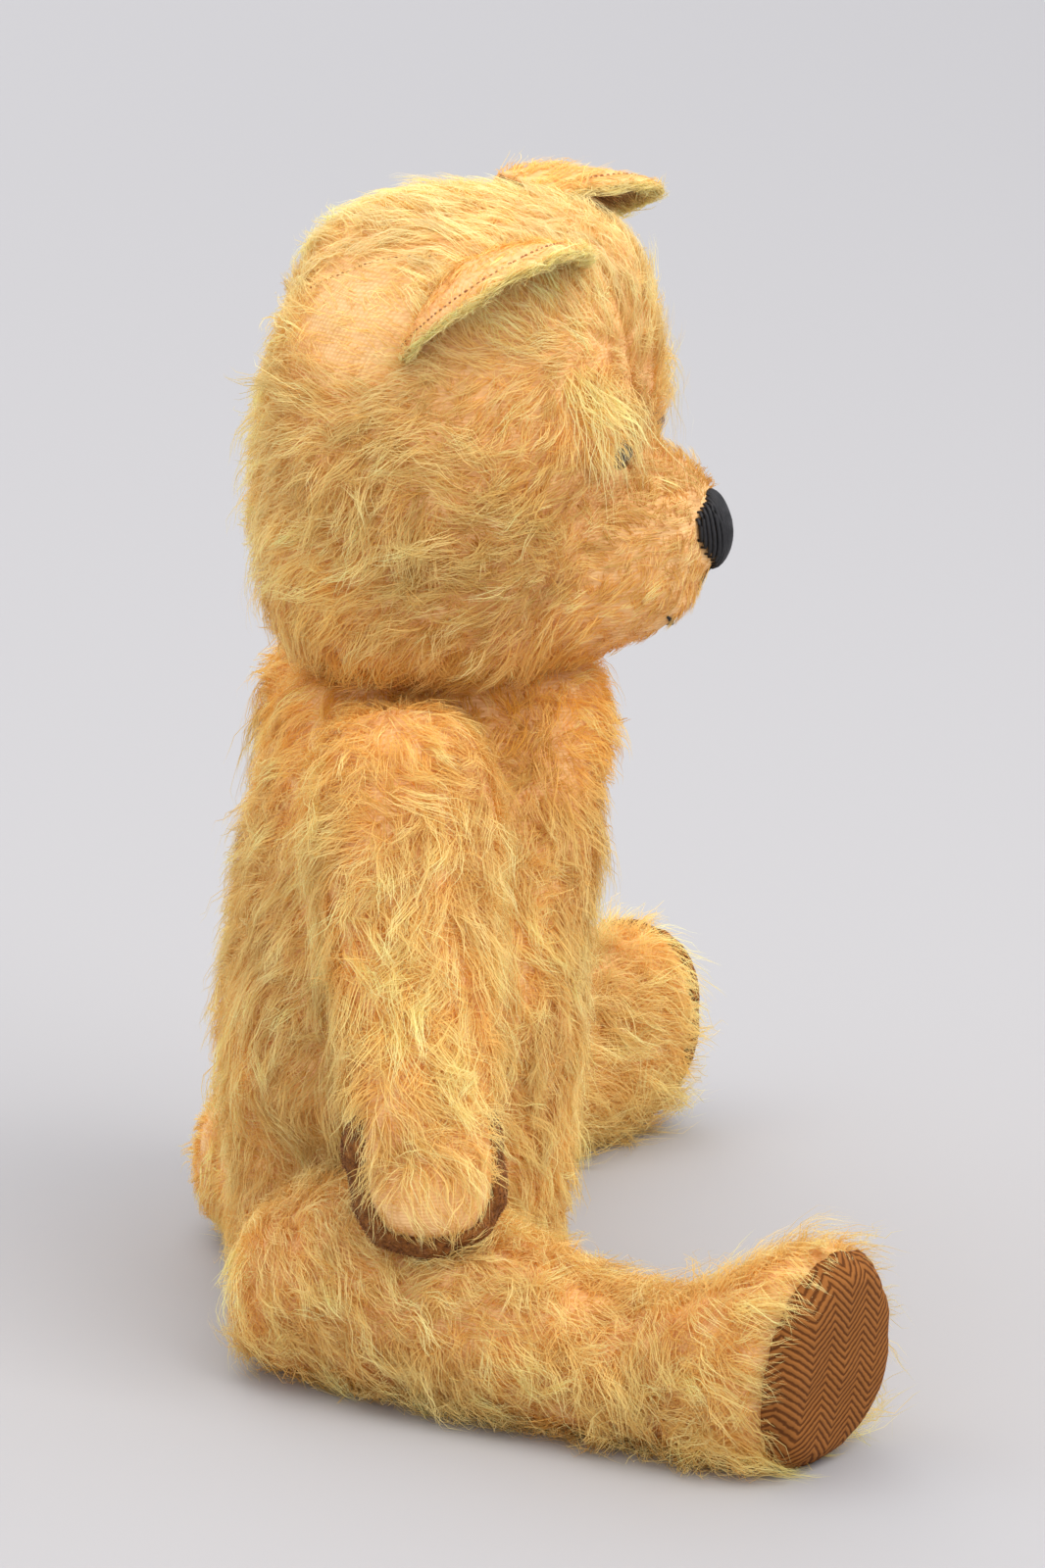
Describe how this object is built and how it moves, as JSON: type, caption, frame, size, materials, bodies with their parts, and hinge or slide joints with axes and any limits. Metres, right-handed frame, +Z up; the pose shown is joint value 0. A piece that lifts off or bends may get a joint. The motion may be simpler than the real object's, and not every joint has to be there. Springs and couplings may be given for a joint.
{
  "type": "jointed teddy bear",
  "caption": "Seated old-style teddy bear of golden mohair with brown wool paw and foot pads, a stitched black nose and disc-jointed head, arms and legs",
  "frame": {"origin": "on the seat surface, under the middle of the bear's bounding box", "axes": "+Z up, the bear faces -Y and its own left is +X"},
  "size_m": [0.3448, 0.1671, 0.3344],
  "materials": {
    "mohair": "long, slightly wavy golden mohair pile on a woven cotton backing, worn thin in places",
    "wool_twill": "brown herringbone wool cloth",
    "wool_felt": "brown felted wool cloth",
    "stuffing": "firm packed wood wool",
    "board": "pressed fibreboard",
    "steel": "dull zinc-coated steel",
    "eye_glass": "dark amber glass with a black pupil",
    "black_thread": "black embroidery thread laid in satin stitch"
  },
  "bodies": {
    "torso": {"torso_left": "mohair", "torso_right": "mohair", "torso_stuffing": "stuffing", "neck_disc_torso": "board", "neck_washer_torso": "steel", "shoulder_left_disc_torso": "board", "shoulder_left_washer_torso": "steel", "shoulder_right_disc_torso": "board", "shoulder_right_washer_torso": "steel", "hip_left_disc_torso": "board", "hip_left_washer_torso": "steel", "hip_right_disc_torso": "board", "hip_right_washer_torso": "steel"},
    "head": {"head_gusset": "mohair", "head_side_left": "mohair", "head_side_right": "mohair", "head_stuffing": "stuffing", "ear_front_left": "mohair", "ear_front_right": "mohair", "ear_back_left": "mohair", "ear_back_right": "mohair", "eye_left": "eye_glass", "eye_right": "eye_glass", "nose": "black_thread", "nose_mouth_stitch": "black_thread", "mouth_stitch": "black_thread", "neck_disc_head": "board", "neck_washer_head": "steel", "neck_cotter_pin": "steel"},
    "arm_left": {"arm_outer_left": "mohair", "arm_inner_left": "mohair", "paw_pad_left": "wool_felt", "arm_stuffing_left": "stuffing", "shoulder_left_disc_arm": "board", "shoulder_left_washer_arm": "steel", "shoulder_left_cotter_pin": "steel"},
    "arm_right": {"arm_outer_right": "mohair", "arm_inner_right": "mohair", "paw_pad_right": "wool_felt", "arm_stuffing_right": "stuffing", "shoulder_right_disc_arm": "board", "shoulder_right_washer_arm": "steel", "shoulder_right_cotter_pin": "steel"},
    "leg_left": {"leg_outer_left": "mohair", "leg_inner_left": "mohair", "foot_pad_left": "wool_twill", "leg_stuffing_left": "stuffing", "hip_left_disc_leg": "board", "hip_left_washer_leg": "steel", "hip_left_cotter_pin": "steel"},
    "leg_right": {"leg_outer_right": "mohair", "leg_inner_right": "mohair", "foot_pad_right": "wool_twill", "leg_stuffing_right": "stuffing", "hip_right_disc_leg": "board", "hip_right_washer_leg": "steel", "hip_right_cotter_pin": "steel"}
  },
  "joints": [
    {"name": "neck_turn", "type": "hinge", "parent": "torso", "child": "head", "pos_m": [0, 0.02, 0.1965], "axis": [0, 0, 1], "continuous": true},
    {"name": "shoulder_left", "type": "hinge", "parent": "torso", "child": "arm_left", "pos_m": [0.0352, 0.036, 0.1635], "axis": [-0.9219, 0, -0.3875], "range_deg": [-90, 100]},
    {"name": "shoulder_right", "type": "hinge", "parent": "torso", "child": "arm_right", "pos_m": [-0.0352, 0.036, 0.1635], "axis": [-0.9219, 0, 0.3875], "range_deg": [-90, 100]},
    {"name": "hip_left", "type": "hinge", "parent": "torso", "child": "leg_left", "pos_m": [0.0394, 0.046, 0.027], "axis": [0.788, 0.6157, 0], "range_deg": [0, 100]},
    {"name": "hip_right", "type": "hinge", "parent": "torso", "child": "leg_right", "pos_m": [-0.0394, 0.046, 0.027], "axis": [0.788, -0.6157, 0], "range_deg": [0, 100]}
  ]
}
